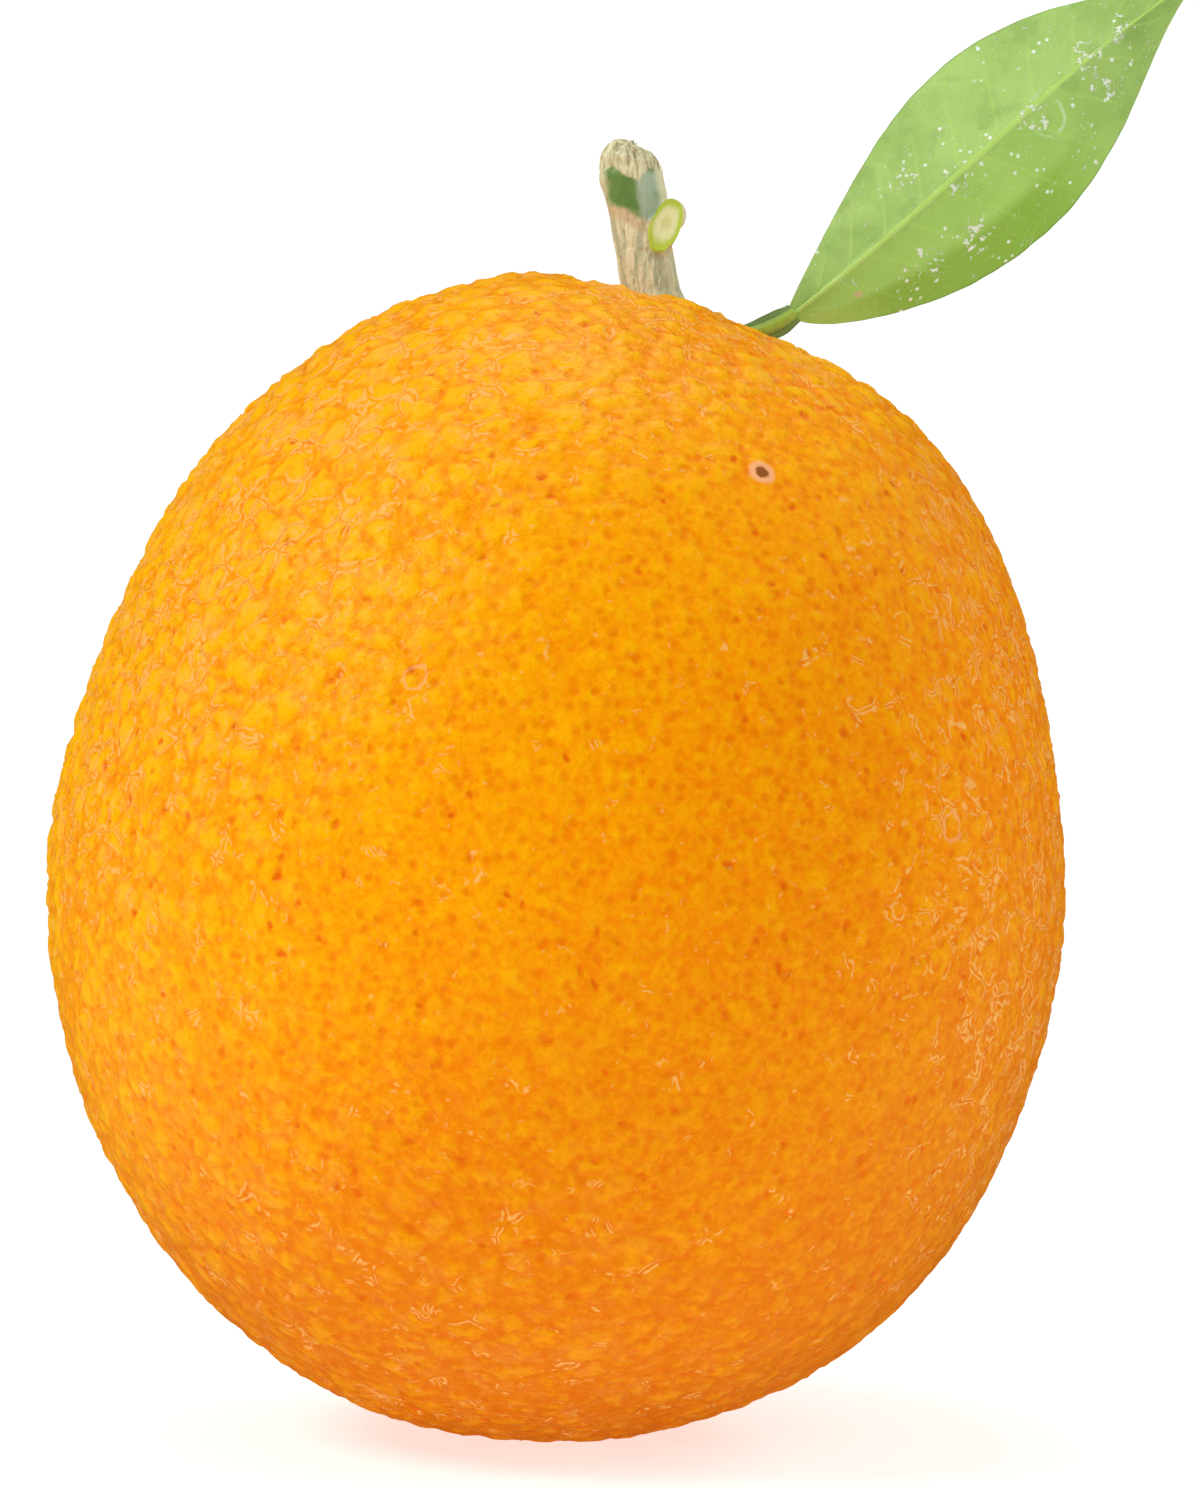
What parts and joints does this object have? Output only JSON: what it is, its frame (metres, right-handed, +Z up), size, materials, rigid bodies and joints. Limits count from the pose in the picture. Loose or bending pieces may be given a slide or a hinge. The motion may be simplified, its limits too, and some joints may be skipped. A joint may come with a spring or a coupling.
{
  "type": "orange",
  "caption": "Whole ripe orange with its calyx, cut woody stem and a green leaf, resting on a small flat spot at the blossom end.",
  "frame": {"origin": "centre of the small flat spot at the blossom end that the fruit rests on", "axes": "+Z up from the surface it rests on, +X towards the side the leaf grows on, +Y to the back"},
  "size_m": [0.0925, 0.0798, 0.1176],
  "materials": {
    "orange_skin": "waxy citrus peel, softly glossy, pitted with oil glands, yellow-orange to deep orange",
    "calyx_green": "dry grey-green calyx, matt",
    "twig_bark": "streaked cream and grey-green bark with a fresh yellow-green cut",
    "petiole_green": "smooth living green, faint gloss, bright mid ridge",
    "leaf_green": "matt underside of a citrus leaf, pale veins, dust and dried water marks"
  },
  "bodies": {
    "root": {"fruit": "orange_skin", "calyx": "calyx_green", "stem": "twig_bark", "petiole": "petiole_green", "leaf_blade": "leaf_green"}
  },
  "joints": []
}
